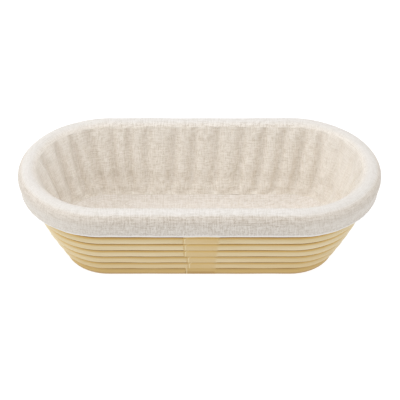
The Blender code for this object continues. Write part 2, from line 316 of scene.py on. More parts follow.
class Graph:
    """One material's nodes."""

    def __init__(self, name: str) -> None:
        """Makes the material and keeps its surface shader."""
        self.material = bpy.data.materials.new(name)
        self.material.use_nodes = True
        self.tree = self.material.node_tree
        self.shader = self.tree.nodes["Principled BSDF"]

    def node(
        self,
        kind: str,
        settings: dict[str, Any] | None = None,
        sockets: dict[Any, Any] | None = None,
        output: Any = 0,
    ) -> Reading:
        """One node of any kind.

        Args:
            kind: Blender's name of the node's type.
            settings: The node's own settings, set first.
            sockets: Values or readings for its input sockets.
            output: The output that is wanted.

        Returns:
            The wanted output.
        """
        made = self.tree.nodes.new(kind)
        for key, value in (settings or {}).items():
            setattr(made, key, value)
        for key, value in (sockets or {}).items():
            self.feed(made.inputs[key], value)
        return Reading(self, made.outputs[output])

    def feed(self, socket: bpy.types.NodeSocket, value: Any) -> None:
        """Links a reading to a socket, or sets a plain value on it."""
        if isinstance(value, Reading):
            self.tree.links.new(value.socket, socket)
        else:
            socket.default_value = value

    def dress(self, **sockets: Any) -> bpy.types.Material:
        """Feeds the surface shader.

        Args:
            sockets: Values or readings by socket name, with _ for each space.

        Returns:
            The finished material.
        """
        for key, value in sockets.items():
            self.feed(self.shader.inputs[key.replace("_", " ")], value)
        return self.material

    def mark(self, mark: Mark) -> Reading:
        """A mesh's own value as a vector."""
        return self.node("ShaderNodeAttribute", {"attribute_name": mark.value}, output="Vector")

    def amount(self, mark: Mark) -> Reading:
        """A mesh's own value as a number."""
        return self.node("ShaderNodeAttribute", {"attribute_name": mark.value}, output="Fac")

    def place(self) -> Reading:
        """Place on the piece."""
        return self.node("ShaderNodeTexCoord", output="Object")

    def parts(self, vector: Reading) -> tuple[Reading, Reading, Reading]:
        """The three numbers of a vector."""
        first = self.node("ShaderNodeSeparateXYZ", sockets={0: vector})
        outs = first.socket.node.outputs
        return first, Reading(self, outs[1]), Reading(self, outs[2])

    def stretch(self, vector: Reading, scales: tuple[float, float, float]) -> Reading:
        """A vector with each of its numbers scaled."""
        return self.node("ShaderNodeVectorMath", {"operation": "MULTIPLY"}, {0: vector, 1: scales})

    def noise(self, vector: Reading, detail: float = 2.0, rough: float = 0.5) -> Reading:
        """Cloudy value from 0 to 1, of about one cloud for each unit of the vector."""
        sockets = {"Vector": vector, "Scale": 1.0, "Detail": detail, "Roughness": rough}
        return self.node("ShaderNodeTexNoise", {"noise_dimensions": "3D"}, sockets)

    def step(self, value: Reading, low: float, high: float) -> Reading:
        """Smooth step from 0 at low to 1 at high."""
        sockets = {0: value, 1: low, 2: high, 3: 0.0, 4: 1.0}
        return self.node("ShaderNodeMapRange", {"interpolation_type": "SMOOTHSTEP"}, sockets)

    def fade(self, value: Reading, low: float, high: float) -> Reading:
        """Smooth step from 1 at low to 0 at high."""
        return 1.0 - self.step(value, low, high)

    def tint(self, skin: Any, tint: Tint, value: Reading, within: Any = 1.0) -> Reading:
        """A colour, tinted where a value passes the tint's edge.

        Args:
            skin: The colour without the tint.
            tint: The tint.
            value: What its edge is measured on.
            within: How much of the tint there may be.

        Returns:
            The tinted colour.
        """
        share = self.step(value, *tint.edge) * within * tint.share
        return self.mix(share, skin, tint.colour, tint.blend)

    def mix(self, share: Any, first: Any, second: Any, blend: str = "MIX") -> Reading:
        """A colour between two colours."""
        settings = {"data_type": "RGBA", "blend_type": blend}
        return self.node("ShaderNodeMix", settings, {0: share, 6: first, 7: second}, output=2)

    def bump(self, height: Reading, depth: float, strength: float = 1.0) -> Reading:
        """Surface direction over small relief of a given depth."""
        sockets = {"Strength": strength, "Distance": depth, "Height": height}
        return self.node("ShaderNodeBump", sockets=sockets)


@dataclass(frozen=True)
class CaneFinish:
    """Peeled cane: pale honey with fibres along it, duller and browner where it is sanded.

    Edges of brow, belly, heel and joint shadow are shares of the cane's radius, up the wall or down it
    from the cane's middle. Brow, heel and joint shadow are painted shade in the crevices between canes,
    belly is painted light on each cane's underside. Edges of the painted shade low on the basket and of
    the painted shadow along the foot are heights above the table.
    """

    cane_r: float
    honey: Colour = (0.765, 0.61, 0.33, 1.0)
    straw: Colour = (0.83, 0.69, 0.43, 1.0)
    fibre: Colour = (0.58, 0.395, 0.16, 1.0)
    sanded: Colour = (0.67, 0.455, 0.15, 1.0)
    # painted shade: the amber of the crevices between canes, where the rings lie close
    amber_shade: Colour = (0.75, 0.45, 0.05, 1.0)
    # painted shadow: the brown of the grooves between canes and of the line along the foot
    contact_shadow: Colour = (0.34, 0.145, 0.005, 1.0)
    # painted light: the pale of the lit undersides, of the sanded faces' lower parts and of the splice's tip
    painted_light: Colour = (0.92, 0.80, 0.50, 1.0)
    tone_grain: tuple[float, float, float] = (14.0, 160.0, 160.0)
    streak_grain: tuple[float, float, float] = (30.0, 1500.0, 1500.0)
    fine_grain: tuple[float, float, float] = (90.0, 4200.0, 4200.0)
    pore_grain: float = 1600.0
    pore_edge: Edge = (0.18, 0.32)
    pore_share: float = 0.75
    streak_relief: float = 0.6
    pales: Tint = Tint(straw, (0.3, 0.7))
    streaks: Tint = Tint(fibre, (0.56, 0.80), 0.55)
    fibres: Tint = Tint(fibre, (0.55, 0.80), 0.25)
    # painted light from below on each cane's underside
    belly: Tint = Tint(painted_light, (0.10, 0.50), 0.45)
    # painted shade on each cane's upper part, under the ring above
    brow: Tint = Tint(amber_shade, (0.52, 0.80), 0.7)
    # painted shade on each cane's lower part, above the ring below
    heel: Tint = Tint(amber_shade, (0.60, 0.86), 0.7)
    sanded_pales: Tint = Tint(straw, (0.35, 0.65), 0.15)
    # painted shade on the upper part of each sanded face
    sanded_brow: Tint = Tint(amber_shade, (0.0, 0.40), 0.40)
    # painted light on the lower part of each sanded face
    sanded_belly: Tint = Tint(painted_light, (0.0, 0.30), 0.18)
    # painted shadow along each groove between canes, less of it on the sanded splice
    joint_shadow: Tint = Tint(contact_shadow, (0.78, 0.86), 0.95)
    sanded_share: float = 0.75
    joint_sanded_off: float = 0.85
    # painted highlight on the end of the splice's feathered tip
    feather_share: float = 0.8
    # painted shade, darker towards the bottom of the basket: most on the lowest rings, some up the wall
    foot_shade: Edge = (3.0 * MM, 14.0 * MM)
    foot_shade_share: float = 0.88
    low_wall_shade: Edge = (8.0 * MM, 40.0 * MM)
    low_wall_shade_share: float = 0.38
    # painted contact shadow along the bottom ring, where it stands on the table
    foot_shadow: Edge = (2.0 * MM, 4.6 * MM)
    foot_shadow_share: float = 0.6
    relief: float = 0.06 * MM

    def material(self, name: str, cut_end: bool = False) -> bpy.types.Material:
        """Makes the finish.

        Args:
            name: Name of the material.
            cut_end: Whether it is for the open pores of a cut end.

        Returns:
            The material.
        """
        g = Graph(name)
        lay = g.mark(Mark.LAY)
        tone = g.noise(g.stretch(lay, self.tone_grain), 2.0)
        streak = g.noise(g.stretch(lay, self.streak_grain), 3.0, 0.6)
        fine = g.noise(g.stretch(lay, self.fine_grain), 2.0)
        _, _, up_wall = g.parts(lay)
        _, _, height = g.parts(g.place())
        side = up_wall * (1.0 / self.cane_r)
        under = side * -1.0
        sanded = g.amount(Mark.SANDED)
        grown = 1.0 - sanded
        skin = g.tint(self.honey, self.pales, tone)
        skin = g.tint(skin, self.streaks, streak)
        skin = g.tint(skin, self.fibres, fine)
        # painted light on each cane's underside
        skin = g.tint(skin, self.belly, under, grown)
        # painted shade in the crevices, on each cane's upper and lower parts
        skin = g.tint(skin, self.brow, side, grown)
        skin = g.tint(skin, self.heel, under, grown)
        skin = g.mix(sanded * self.sanded_share, skin, self.sanded)
        skin = g.tint(skin, self.sanded_pales, tone, sanded)
        # painted shade on each sanded face's upper part and painted light on its lower part
        skin = g.tint(skin, self.sanded_brow, side, sanded)
        skin = g.tint(skin, self.sanded_belly, under, sanded)
        # painted shade low on the basket, in the sanded brown, darker towards the bottom
        foot = g.fade(height, *self.foot_shade) * self.foot_shade_share
        wall = g.fade(height, *self.low_wall_shade) * self.low_wall_shade_share
        skin = g.mix(foot + wall, skin, self.sanded)
        # painted shadow in the grooves between canes
        skin = g.tint(skin, self.joint_shadow, abs(side), 1.0 - self.joint_sanded_off * sanded)
        # painted contact shadow along the foot
        skin = g.mix(g.fade(height, *self.foot_shadow) * self.foot_shadow_share, skin, self.contact_shadow)
        # painted highlight on the end of the splice's feathered tip
        skin = g.mix(g.amount(Mark.FEATHER) * self.feather_share, skin, self.painted_light)
        relief = streak * self.streak_relief + fine * (1.0 - self.streak_relief)
        if cut_end:
            sockets = {"Vector": g.place(), "Scale": self.pore_grain}
            pores = g.node("ShaderNodeTexVoronoi", sockets=sockets, output="Distance")
            hole = g.fade(pores, *self.pore_edge)
            skin = g.mix(hole * self.pore_share, skin, self.fibre)
            relief = relief * 0.3 - hole
        return g.dress(
            Base_Color=skin,
            Roughness=0.40 + 0.22 * streak,
            Specular_IOR_Level=0.5,
            Coat_Weight=0.25,
            Coat_Roughness=0.34,
            Normal=g.bump(relief, self.relief, 0.6),
        )


@dataclass(frozen=True)
class LinenFinish:
    """Plain-woven natural linen with slubs and flecks.

    The cloth has a painted highlight on the roll's crest and at the hem, painted light that lightens it and
    calms its contrast round the ends, and painted shade just under the crest, in its folds and where it is
    tucked under the roll. Each is left out unless its place is given.
    """

    light: Colour = (0.915, 0.865, 0.80, 1.0)
    dark: Colour = (0.575, 0.50, 0.415, 1.0)
    shade: Colour = (0.82, 0.80, 0.78, 1.0)
    # colours of the painted highlight on the roll's crest
    pale: Colour = (0.825, 0.795, 0.765, 1.0)
    pale_dark: Colour = (0.675, 0.635, 0.585, 1.0)
    # near-white of the painted highlights at the hem and round the ends
    edge: Colour = (0.98, 0.965, 0.945, 1.0)
    fleck: Colour = (0.42, 0.34, 0.25, 1.0)
    yarn: float = 1.02 * MM
    waver: float = 1.2
    waver_grain: tuple[float, float] = (420.0, 60.0)
    slub_grain: tuple[float, float] = (0.85, 170.0)
    cloud_grain: float = 38.0
    grit_grain: float = 1150.0
    yarn_share: float = 1.9
    cloud_share: float = 0.12
    grit_share: float = 0.5
    weave_share: float = 0.6
    tone_edge: Edge = (1.15, 2.05)
    # painted light round the ends: ways from the middle along X over which the yarns are lightened and calmed
    lit_ends: Edge | None = None
    lit_ends_skirt: tuple[float, float] = (0.38, 0.33)
    lit_ends_roll: tuple[float, float] = (0.40, 0.18)
    lit_ends_pale: float = 0.0
    # rise, hold, fall and end of the painted crest highlight, as ways down the cuff's section
    crest: tuple[float, float, float, float] | None = None
    # painted shade band on the skirt just below the crest
    under_crest: Edge = (-8.0 * MM, -3.0 * MM)
    under_share: float = 0.75
    hem_fold: float = 0.0
    # painted highlight along the hem's fold, fading over the casing
    hem_line: Edge = (0.8 * MM, 1.5 * MM)
    hem_line_share: float = 0.75
    casing: Edge = (3.0 * MM, 5.0 * MM)
    casing_share: float = 0.15
    tucked: Edge | None = None
    tucked_share: float = 0.35
    folds: Tint = Tint(shade, (0.25, 1.3), 0.28, "MULTIPLY")
    fleck_edge: Edge = (0.40, 0.52)
    fleck_share: float = 0.35
    relief: float = 0.16 * MM

    def _yarns(self, g: Graph, lay: Reading, weft: bool) -> tuple[Reading, Reading]:
        """One way of the weave.

        Args:
            g: The material's nodes.
            lay: Place on the cloth.
            weft: Whether it is the weft, which runs along the cloth, and not the warp.

        Returns:
            A wave from -1 to 1 over each two yarns, and how thick the yarns are.
        """
        turn = -1 if weft else 1
        waver = g.noise(g.stretch(lay, (*self.waver_grain[::turn], 1.0)), 1.0)
        fine, long = self.slub_grain
        slub = g.noise(g.stretch(lay, (*(fine / self.yarn, long)[::turn], 1.0)), 1.5)
        at = g.parts(lay)[1 if weft else 0]
        return ((at * (1.0 / self.yarn) + waver * self.waver) * math.pi).sin(), slub

    @staticmethod
    def _lit_share(share: Reading, lit_ends: Reading, change: tuple[float, float]) -> Reading:
        """Share of light yarn round the lit ends, by how much contrast goes and how much light comes: painted
        light.
        """
        return share * (1.0 - change[0] * lit_ends) + change[1] * lit_ends

    def _over_rim(self, g: Graph, skin: Reading, down: Reading, share: Reading) -> Reading:
        """Colour of the cuff, with a painted highlight on the crest, painted shade just below it and a
        painted highlight at the hem.
        """
        rise, high, fall, low = self.crest
        # painted highlight on the roll's crest
        crest_light = g.step(down, rise, high) * g.fade(down, fall, low)
        # painted shade on the skirt just below the crest
        under = g.step(down, *(rise + way for way in self.under_crest)) * g.fade(down, rise, high)
        skin = g.mix(under * self.under_share, skin, self.shade, "MULTIPLY")
        skin = g.mix(crest_light, skin, g.mix(share, self.pale_dark, self.pale))
        # painted highlight along the hem's fold and over the casing
        above = down - self.hem_fold
        line = g.fade(abs(above), *self.hem_line) * self.hem_line_share
        casing = g.fade(above, *self.casing) * self.casing_share
        return g.mix(line + casing, skin, self.edge)

    def material(self, name: str) -> bpy.types.Material:
        """Makes the finish; lay runs along the cloth and down it, in metres."""
        g = Graph(name)
        lay = g.mark(Mark.LAY)
        _, down, _ = g.parts(lay)
        warp, slub_warp = self._yarns(g, lay, weft=False)
        weft, slub_weft = self._yarns(g, lay, weft=True)
        over = 0.5 + 0.5 * (warp * weft)
        weave = abs(warp) * over + abs(weft) * (1.0 - over)
        yarns = slub_warp * over + slub_weft * (1.0 - over)
        cloud = g.noise(g.stretch(lay, (self.cloud_grain, self.cloud_grain, 1.0)), 2.0)
        grit = g.noise(g.stretch(lay, (self.grit_grain, self.grit_grain, 1.0)), 2.0)
        tone = yarns * self.yarn_share + cloud * self.cloud_share
        tone = tone + grit * self.grit_share + weave * self.weave_share
        roll = skirt = g.step(tone, *self.tone_edge)
        # painted light round the ends: less yarn contrast and lighter cloth
        if self.lit_ends:
            ends, _, _ = g.parts(g.place())
            lit_ends = g.step(abs(ends), *self.lit_ends)
            skirt = self._lit_share(skirt, lit_ends, self.lit_ends_skirt)
            roll = self._lit_share(roll, lit_ends, self.lit_ends_roll)
        skin = g.mix(skirt, self.dark, self.light)
        # painted light round the wall's ends, mixed toward near-white
        if self.lit_ends and self.lit_ends_pale:
            skin = g.mix(lit_ends * self.lit_ends_pale, skin, self.edge)
        if self.crest:
            skin = self._over_rim(g, skin, down, roll)
        if self.tucked:
            skin = g.tint(skin, self.folds, g.amount(Mark.FOLD))
            skin = g.mix(g.fade(down, *self.tucked) * self.tucked_share, skin, self.shade, "MULTIPLY")
        flecks = [g.step(slub * grit, *self.fleck_edge) for slub in (slub_warp, slub_weft)]
        skin = g.mix((flecks[0] + flecks[1]) * self.fleck_share, skin, self.fleck)
        return g.dress(
            Base_Color=skin,
            Roughness=0.95 - 0.12 * weave,
            Specular_IOR_Level=0.2,
            Sheen_Weight=0.25,
            Sheen_Roughness=0.4,
            Normal=g.bump(weave * 0.8 + yarns * 0.5, self.relief, 0.55),
        )


@dataclass(frozen=True)
class ThreadFinish:
    """Twisted sewing thread in the cloth's colour."""

    light: Colour = (0.84, 0.81, 0.77, 1.0)
    dark: Colour = (0.70, 0.65, 0.58, 1.0)
    twists: float = 2600.0
    relief: float = 0.05 * MM

    def material(self, name: str) -> bpy.types.Material:
        """Makes the finish."""
        g = Graph(name)
        along, around, _ = g.parts(g.mark(Mark.LAY))
        ply = abs(((along * self.twists + around) * math.pi).sin())
        skin = g.mix(ply, self.dark, self.light)
        return g.dress(Base_Color=skin, Roughness=0.8 - 0.1 * ply, Normal=g.bump(ply, self.relief, 0.7))


@dataclass(frozen=True)
class ElasticFinish:
    """Covered rubber elastic with a fine knit."""

    light: Colour = (0.82, 0.80, 0.75, 1.0)
    dark: Colour = (0.60, 0.57, 0.51, 1.0)
    knit: float = 0.9 * MM
    knit_share: float = 0.7
    dirt_grain: tuple[float, float, float] = (60.0, 400.0, 1.0)
    relief: float = 0.12 * MM

    def material(self, name: str) -> bpy.types.Material:
        """Makes the finish."""
        g = Graph(name)
        lay = g.mark(Mark.LAY)
        along, _, _ = g.parts(lay)
        loops = abs((along * (math.pi / self.knit)).sin())
        dirt = g.noise(g.stretch(lay, self.dirt_grain), 2.0)
        clean = loops * self.knit_share + dirt * (1.0 - self.knit_share)
        skin = g.mix(clean, self.dark, self.light)
        return g.dress(Base_Color=skin, Roughness=0.75 - 0.1 * loops, Normal=g.bump(loops, self.relief, 0.6))


@dataclass(frozen=True)
class SteelFinish:
    """Bright drawn wire of a brad, a little dulled."""

    bright: Colour = (0.60, 0.60, 0.61, 1.0)
    dull: Colour = (0.36, 0.34, 0.32, 1.0)
    drawn_grain: tuple[float, float, float] = (2400.0, 2400.0, 160.0)
    brights: Tint = Tint(bright, (0.35, 0.7))
    relief: float = 0.02 * MM

    def material(self, name: str) -> bpy.types.Material:
        """Makes the finish."""
        g = Graph(name)
        drawn = g.noise(g.stretch(g.place(), self.drawn_grain), 3.0)
        return g.dress(
            Base_Color=g.tint(self.dull, self.brights, drawn),
            Metallic=1.0,
            Roughness=0.28 + 0.25 * drawn,
            Normal=g.bump(drawn, self.relief, 0.4),
        )


# Meshes


@dataclass
class Piece:
    """Points and faces of one piece, with what its finishes read."""

    name: str
    verts: np.ndarray
    faces: list[tuple[int, ...]]
    lay: np.ndarray
    lay_at_corners: bool = False
    amounts: dict[Mark, np.ndarray] = field(default_factory=dict)
    second_finish: set[int] = field(default_factory=set)
    sharp: float = math.radians(40.0)

    def build(self, finishes: Sequence[bpy.types.Material]) -> bpy.types.Object:
        """Makes the object.

        Args:
            finishes: The finish, and the one for the faces of second_finish if there are any.

        Returns:
            The object, with its faces turned outward.
        """
        mesh = bpy.data.meshes.new(self.name)
        mesh.from_pydata(self.verts.tolist(), [], self.faces)
        domain = "CORNER" if self.lay_at_corners else "POINT"
        lay = mesh.attributes.new(Mark.LAY.value, "FLOAT_VECTOR", domain)
        lay.data.foreach_set("vector", np.ascontiguousarray(self.lay, np.float32).ravel())
        for mark, amount in self.amounts.items():
            layer = mesh.attributes.new(mark.value, "FLOAT", "POINT")
            layer.data.foreach_set("value", np.ascontiguousarray(amount, np.float32).ravel())
        for face in self.second_finish:
            mesh.polygons[face].material_index = 1
        build = bmesh.new()
        build.from_mesh(mesh)
        bmesh.ops.recalc_face_normals(build, faces=build.faces)
        for face in build.faces:
            face.smooth = True
        build.to_mesh(mesh)
        build.free()
        mesh.set_sharp_from_angle(angle=self.sharp)
        for finish in finishes:
            mesh.materials.append(finish)
        return add(self.name, mesh)


def add(name: str, data: Any) -> bpy.types.Object:
    """Puts a new object into the scene."""
    thing = bpy.data.objects.new(name, data)
    bpy.context.scene.collection.objects.link(thing)
    return thing


def tube(rows: int, sides: int, start: int = 0) -> list[tuple[int, ...]]:
    """Faces of an open tube over rows of section points, with both ends capped last."""
    i, k = np.meshgrid(np.arange(rows - 1), np.arange(sides), indexing="ij")
    here, there, n = i * sides + start, (i + 1) * sides + start, (k + 1) % sides
    quads = np.stack([here + k, here + n, there + n, there + k], axis=-1)
    faces = [tuple(face) for face in quads.reshape(-1, 4).tolist()]
    faces.append(tuple(range(start + sides - 1, start - 1, -1)))
    faces.append(tuple(range(start + (rows - 1) * sides, start + rows * sides)))
    return faces


def cloth_piece(
    name: str, middle: np.ndarray, thick: float, lay: np.ndarray, closed_disc: bool = False
) -> Piece:
    """Sheet of cloth that closes round the oval.

    Args:
        name: Name of the piece.
        middle: Middle surface, rows by columns by three.
        thick: Thickness of the cloth.
        lay: Place on the cloth, rows by columns and one by two; the extra column closes the round.
        closed_disc: Whether the last row closes to one point.

    Returns:
        The closed piece.
    """
    rows, cols, _ = middle.shape
    along = np.roll(middle, -1, axis=1) - np.roll(middle, 1, axis=1)
    normal = unit(np.cross(along, np.gradient(middle, axis=0)))
    sides = [middle + normal * thick / 2.0, middle - normal * thick / 2.0]
    verts = np.concatenate([side.reshape(-1, 3) for side in sides])
    i, k = np.meshgrid(np.arange(rows - 1), np.arange(cols), indexing="ij")
    corner_rows = np.stack([i, i, i + 1, i + 1], axis=-1).reshape(-1, 4)
    corner_cols = np.stack([k, k + 1, k + 1, k], axis=-1).reshape(-1, 4)
    layer = rows * cols
    quads = corner_rows * cols + corner_cols % cols
    lays = lay[corner_rows, corner_cols]
    faces, corners = [quads, (quads + layer)[:, ::-1]], [lays, lays[:, ::-1]]
    ring = np.arange(cols)
    for row in (0,) if closed_disc else (0, rows - 1):
        a = row * cols + ring
        b = row * cols + (ring + 1) % cols
        rim = np.stack([a, a + layer, b + layer, b], axis=-1)
        rim_lay = np.stack([lay[row, :-1], lay[row, :-1], lay[row, 1:], lay[row, 1:]], axis=1)
        faces.append(rim if row == 0 else rim[:, ::-1])
        corners.append(rim_lay if row == 0 else rim_lay[:, ::-1])
    all_faces = [tuple(face) for face in np.concatenate(faces).tolist()]
    all_corners = np.concatenate(corners).reshape(-1, 2)
    if closed_disc:
        last = (rows - 1) * cols + ring
        after = (rows - 1) * cols + (ring + 1) % cols
        verts = np.concatenate([verts, [side[-1].mean(axis=0) for side in sides]])
        for number, base in enumerate((0, layer)):
            tip = 2 * layer + number
            fan = np.stack([last + base, after + base, 0 * ring + tip], axis=-1)
            middle_lay = lay[-1, :-1].mean(axis=0)
            fan_lay = np.stack([lay[-1, :-1], lay[-1, 1:], 0 * lay[-1, 1:] + middle_lay], axis=1)
            turn = slice(None) if number == 0 else slice(None, None, -1)
            all_faces += [tuple(face) for face in fan[:, turn].tolist()]
            all_corners = np.concatenate([all_corners, fan_lay[:, turn].reshape(-1, 2)])
    three = np.concatenate([all_corners, np.zeros((len(all_corners), 1))], axis=1)
    return Piece(name, verts, all_faces, three, lay_at_corners=True, sharp=math.radians(60.0))


def show(thing: bpy.types.Object, body: Body, slot: Slot, *nodes: str) -> bpy.types.Object:
    """Puts a piece on its body in place of the solids that it stands for.

    Args:
        thing: The piece.
        body: Body that it moves with.
        slot: Material slot that its finish belongs to; not used.
        nodes: Solids that it replaces.

    Returns:
        The piece.
    """
    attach(thing, body.value)
    if nodes:
        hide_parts(*nodes)
    faces, stands_for = len(thing.data.polygons), ", ".join(nodes) or "none"
    LOG.info("%s: %d faces, on %s, for %s", thing.name, faces, body.value, stands_for)
    return thing


# Basket


@dataclass(frozen=True)
class Splice:
    """How the two ends of a bent cane meet at the front."""

    long_fade: float = 3.0 * MM
    short_fade: float = 0.5 * MM
    lip: float = 0.6 * MM
    kerf: float = 0.30 * MM
    square: float = 7.0
    face: float = 0.76
    breadth: float = 0.985
    ease: float = math.radians(53.0)
    rows: int = 7
    fade_rows: int = 5

    def slant(self, half: float, face: float) -> float:
        """How far the cut runs along a cane of radius 1 so that it opens at the edge of the splice."""
        return (half - self.lip) / face


@dataclass
class CaneBasket:
    """The stack of bent canes, spliced at the front and nailed together."""

    shape: BasketShape
    splice: Splice = Splice()
    sides: int = 20
    row_step: float = 3.6 * MM
    waver: float = 0.07 * MM
    push: float = 0.112 * MM
    swell: float = 0.010
    calm_reach: float = 3.0
    lay_shift: float = 9.0
    centre_lay: float = 3.0
    seat: float = 0.115
    seat_pressed_off: float = 0.6
    seat_power: int = 8
    bare_top: float = 0.45
    bare_foot: float = 0.3
    centre_rows: int = 60
    centre_ease: float = 0.5 * MM
    centre_tip: float = 0.92
    loop_half: float = 12.0 * MM
    splice_half: tuple[float, ...] = (10.8, 9.7, 10.4, 11.9, 12.1, 12.7, 12.4, 12.0, 12.3)
    splice_shift: tuple[float, ...] = (-0.4, 0.7, 0.7, -0.1, 0.1, 0.3, 0.6, -0.4, 0.3)
    seed: int = 41

    def _section(
        self, flat: np.ndarray, lean: float, ring: int | None
    ) -> tuple[np.ndarray, np.ndarray, np.ndarray]:
        """Section points of each row.

        Args:
            flat: Flatness of each row, from 0 where the cane is round to 1 in the splice.
            lean: Lean of the section from upright.
            ring: Number of the wall ring, or None for a cane of the base.

        Returns:
            How far out, how far up and how far across the wall each point is, for a cane of radius 1.
        """
        angle = TURN * (np.arange(self.sides) + 0.5) / self.sides
        pressed = np.repeat(flat[:, None], self.sides, axis=1)
        if ring == self.shape.top_ring:
            pressed = np.where(angle[None, :] < math.pi, 0.0, pressed)
        power = (2.0 / self.splice.square) ** pressed
        c, s = np.cos(angle), np.sin(angle)
        across = np.sign(c) * np.abs(c) ** power * (1.0 - pressed * (1.0 - self.splice.face))
        along = np.sign(s) * np.abs(s) ** power * (1.0 - pressed * (1.0 - self.splice.breadth))
        if ring:
            home = self.seat * (1.0 - self.seat_pressed_off * pressed) * np.abs(along) ** self.seat_power
            along = np.where(along < 0.0, along * (1.0 + home), along)
        out = across * math.cos(lean) + along * math.sin(lean)
        up = along * math.cos(lean) - across * math.sin(lean)
        if not ring:
            above = 0.0 if ring is None else self.shape.lean(0)
            over = np.maximum(0.0, out * math.sin(above) + up * math.cos(above) - 1.0)
            out, up = out - over * math.sin(above), up - over * math.cos(above)
            if ring == 0:
                level, steep = math.cos(self.splice.ease), math.sin(self.splice.ease)
                low = np.maximum(0.0, out * level - up * steep - 1.0)
                out, up = out - low * level, up + low * steep
            up = np.maximum(up, -self.shape.foot_z / self.shape.cane_r)
        return out, up, across

    def _rows(self, length: float, half: float) -> tuple[np.ndarray, np.ndarray, np.ndarray]:
        """Places of the rows of a spliced cane.

        Args:
            length: Way round the oval.
            half: Half length of the splice.

        Returns:
            Each row's place on the way, its flatness from 0 to 1, and its cut from 1 through 0 to -1.
        """
        s = self.splice
        ends = np.concatenate([[0.0, s.lip / half], np.linspace(0.0, 1.0, s.rows)[1:]])
        fade = np.linspace(0.0, 1.0, s.fade_rows + 1)[1:]
        begin, stop = half + s.long_fade, length - half - s.short_fade
        count = int((stop - begin) / self.row_step)
        run = np.linspace(begin, stop, count + 1)[1:]
        way = np.concatenate([ends * half, half + fade * s.long_fade, run, length - ends[::-1] * half])
        flat = np.concatenate([ends * 0.0 + 1.0, 1.0 - smooth(fade, 0.0, 1.0), run * 0.0, ends * 0.0 + 1.0])
        cut = np.concatenate([1.0 - ends, fade * 0.0, run * 0.0, ends[::-1] - 1.0])
        return way, flat, cut

    def bent_cane(self, name: str, oval: Oval, height: float, ring: int | None) -> Piece:
        """One cane bent to an oval, its slanted ends lying against each other in the splice.

        Args:
            name: Name of the piece.
            oval: Centre line in plan.
            height: Height of the centre line.
            ring: Number of the wall ring, or None for a loop of the base.

        Returns:
            The cane.
        """
        shape, s = self.shape, self.splice
        dice = np.random.default_rng(self.seed + int(oval.radius * 1e5))
        lean = 0.0
        if ring:
            lean = (shape.lean(ring - 1) + shape.lean(min(ring, shape.top_ring - 1))) / 2.0
        loop = ring is None
        half = self.loop_half if loop else self.splice_half[ring] * MM
        way, flat, cut = self._rows(oval.length, half)
        pressed = flat * (0.0 if loop else 1.0)
        out, up, across = self._section(pressed, lean, ring)
        share = way / oval.length
        calm = smooth(np.minimum(way, oval.length - way), half, self.calm_reach * half)
        scale = shape.cane_r * (1.0 + calm * drift(share, self.swell, (5, 9, 16), dice))
        rise = calm * drift(share, self.waver, (4, 7, 13), dice) * (1.0 if ring else 0.0)
        push = calm * drift(share, self.push, (3, 8, 11), dice)
        shift = 0.0 if loop else self.splice_shift[ring] * MM
        slant = s.slant(half, 1.0 if loop else s.face)
        slide = cut[:, None] * s.kerf / 2.0 - np.abs(cut)[:, None] * slant * across
        ways = way[:, None] + slide
        point, outward = oval.place(ways + shift)
        verts = point + outward * (out * scale[:, None] + push[:, None])[..., None]
        verts[..., 2] += np.maximum(height + up * scale[:, None] + rise[:, None], 0.0)
        angle = TURN * (np.arange(self.sides) + 0.5) / self.sides + (shape.lean(0) if ring == 0 else 0.0)
        around = np.stack([np.cos(angle), np.sin(angle)], axis=-1) * shape.cane_r
        if loop:
            around = around[:, ::-1]
        elif ring == 0:
            around[:, 1] = np.maximum(around[:, 1], -self.bare_foot * shape.cane_r)
        elif ring == shape.top_ring:
            around[:, 1] = np.minimum(around[:, 1], self.bare_top * shape.cane_r)
        along = ways[..., None] + dice.uniform(0.0, self.lay_shift)
        lay = np.concatenate([along, np.broadcast_to(around, out.shape + (2,))], axis=-1)
        faces = tube(len(way), self.sides)
        # the splice's tip, which its finish paints with a highlight
        feather = np.zeros_like(pressed)
        feather[0] = pressed[0]
        marks = {Mark.SANDED: pressed, Mark.FEATHER: feather}
        return Piece(
            name,
            verts.reshape(-1, 3),
            faces,
            lay.reshape(-1, 3),
            amounts={mark: np.repeat(amount, self.sides) for mark, amount in marks.items()},
            second_finish={len(faces) - 2, len(faces) - 1},
        )

    def centre_cane(self, name: str) -> Piece:
        """Straight cane in the middle of the base, with its cut ends eased."""
        shape, ease = self.shape, self.centre_ease
        inside = shape.base_pitch - shape.cane_r - shape.lay_gap
        half = shape.core(0) + math.sqrt(max(0.0, inside**2 - shape.cane_r**2))
        x = np.concatenate([[-half], np.linspace(ease - half, half - ease, self.centre_rows), [half]])
        small = np.where(np.abs(x) > half - ease / 2.0, self.centre_tip, 1.0)[:, None]
        out, up, _ = self._section(0.0 * x, 0.0, None)
        out, up = out * shape.cane_r, up * shape.cane_r
        along = x[:, None] + 0.0 * out
        verts = np.stack([along, out * small, shape.foot_z + up * small], axis=-1)
        lay = np.stack([along + self.centre_lay, up, out], axis=-1)
        faces = tube(len(x), self.sides)
        caps = {len(faces) - 2, len(faces) - 1}
        return Piece(name, verts.reshape(-1, 3), faces, lay.reshape(-1, 3), second_finish=caps)

